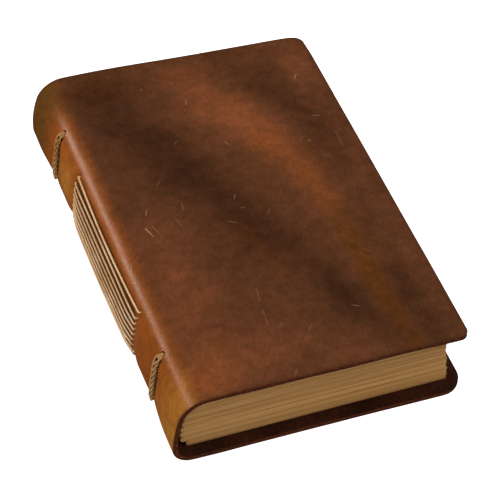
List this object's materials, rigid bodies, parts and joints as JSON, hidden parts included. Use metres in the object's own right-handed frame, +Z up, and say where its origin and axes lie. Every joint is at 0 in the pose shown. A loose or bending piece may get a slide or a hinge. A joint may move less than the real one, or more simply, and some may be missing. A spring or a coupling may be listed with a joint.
{
  "type": "leather journal",
  "caption": "Hand-sewn journal with a soft leather wrap cover, thick text block of folded signatures and exposed long stitches and link stitches on the spine.",
  "frame": {"origin": "middle of the bounding box of the closed journal, at the underside of the back cover", "axes": "+X from the spine to the fore-edge, +Y from the tail to the head, +Z up through the front cover"},
  "size_m": [0.1417, 0.216, 0.038],
  "materials": {
    "cover_leather": "oiled",
    "spine_leather": "oiled",
    "paper": "plain uncoated",
    "thread": "waxed"
  },
  "bodies": {
    "block": {"pages": "paper", "spine": "spine_leather", "sewing_thread": "thread"},
    "front_cover": {"front_cover": "cover_leather"},
    "back_cover": {"back_cover": "cover_leather"}
  },
  "joints": [
    {"name": "front_bend", "type": "hinge", "parent": "block", "child": "front_cover", "pos_m": [-0.05161, 0, 0.04053], "axis": [0, -1, 0], "range_deg": [0, 180]},
    {"name": "back_bend", "type": "hinge", "parent": "block", "child": "back_cover", "pos_m": [-0.05909, 0, -0.0025], "axis": [0, 1, 0], "range_deg": [0, 180]}
  ]
}
